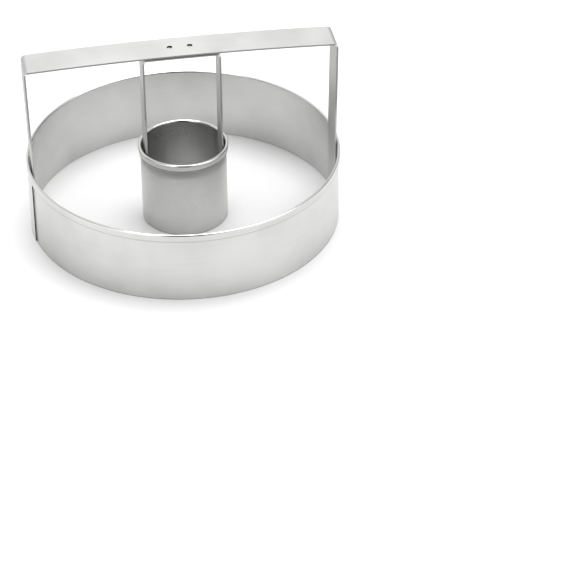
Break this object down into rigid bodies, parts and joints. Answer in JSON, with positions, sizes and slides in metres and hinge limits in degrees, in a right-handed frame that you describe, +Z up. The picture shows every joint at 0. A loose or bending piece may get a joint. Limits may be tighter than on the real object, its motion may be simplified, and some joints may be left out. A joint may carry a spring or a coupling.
{
  "type": "biscuit cutter",
  "caption": "Round ring biscuit or doughnut cutter: a thin hemmed steel ring and a small open inner cutter hung on a bracket under a flat strap handle.",
  "frame": {"origin": "centre of the ring on the plane of its cutting edge, where the cutter stands on the table", "axes": "+X along the handle, away from the ring's seam; +Y across the handle, away from the picture's viewer; +Z up"},
  "size_m": [0.0808, 0.0808, 0.0495],
  "materials": {
    "ring_sheet": "satin rolled sheet",
    "strap": "satin strip with bright edges",
    "cutter_sheet": "satin rolled sheet, a little darker",
    "weld_metal": "dull as welded"
  },
  "bodies": {
    "root": {"cutting_ring": "ring_sheet", "handle_strap": "strap", "inner_bracket": "strap", "inner_cutter": "cutter_sheet", "plug_welds": "weld_metal", "ring_spot_welds": "weld_metal", "cutter_tack_welds": "weld_metal"}
  },
  "joints": []
}
